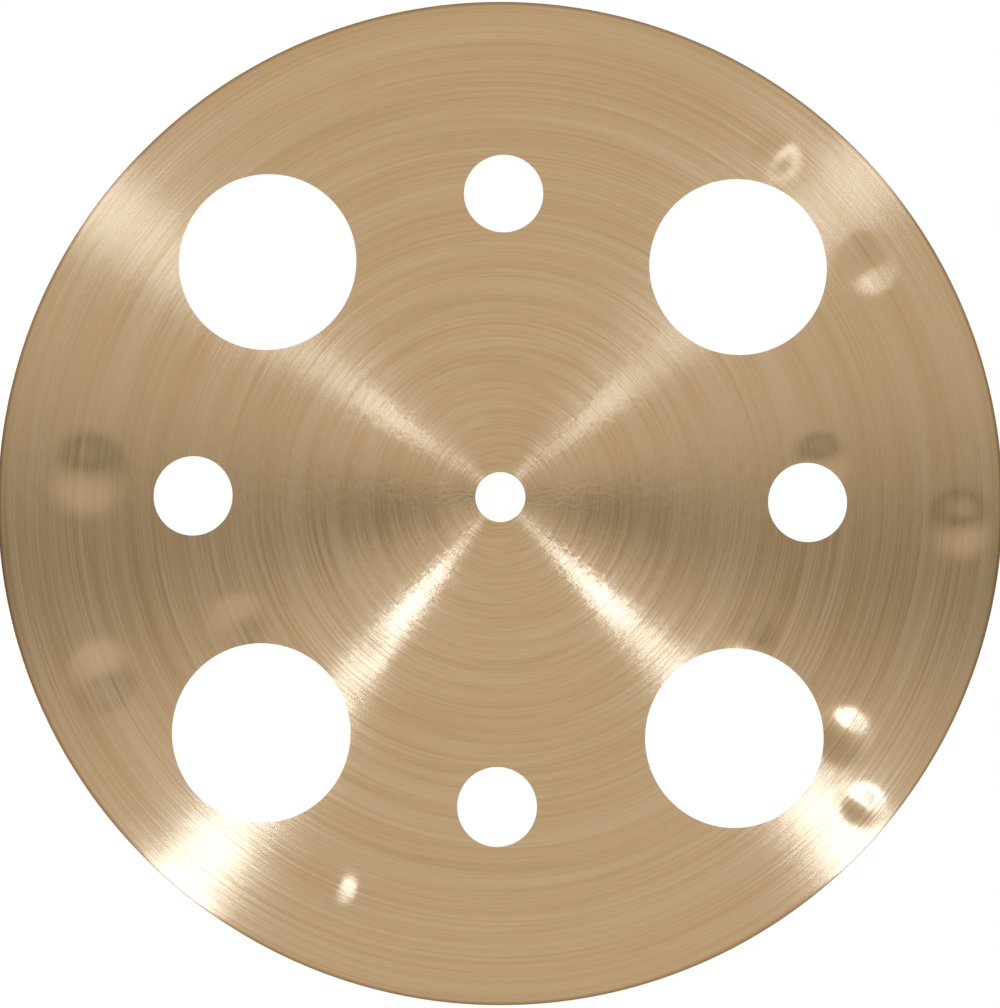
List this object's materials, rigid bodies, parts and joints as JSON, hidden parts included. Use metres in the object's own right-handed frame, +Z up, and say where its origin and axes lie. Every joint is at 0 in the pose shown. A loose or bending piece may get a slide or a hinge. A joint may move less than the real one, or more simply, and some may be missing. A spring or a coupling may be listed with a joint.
{
  "type": "effects cymbal",
  "caption": "Thin round bronze cymbal with a low bow, a shallow cup, a central mounting hole and a ring of round sound holes.",
  "frame": {"origin": "on the cymbal's axis, in the plane of the rim's lowest edge", "axes": "+Z up the axis and out of the crown; +X and +Y through the small sound holes"},
  "size_m": [0.2538, 0.2538, 0.0154],
  "materials": {
    "bronze": "lathe turned and brushed bell bronze"
  },
  "bodies": {
    "root": {"cymbal_plate": "bronze"}
  },
  "joints": []
}
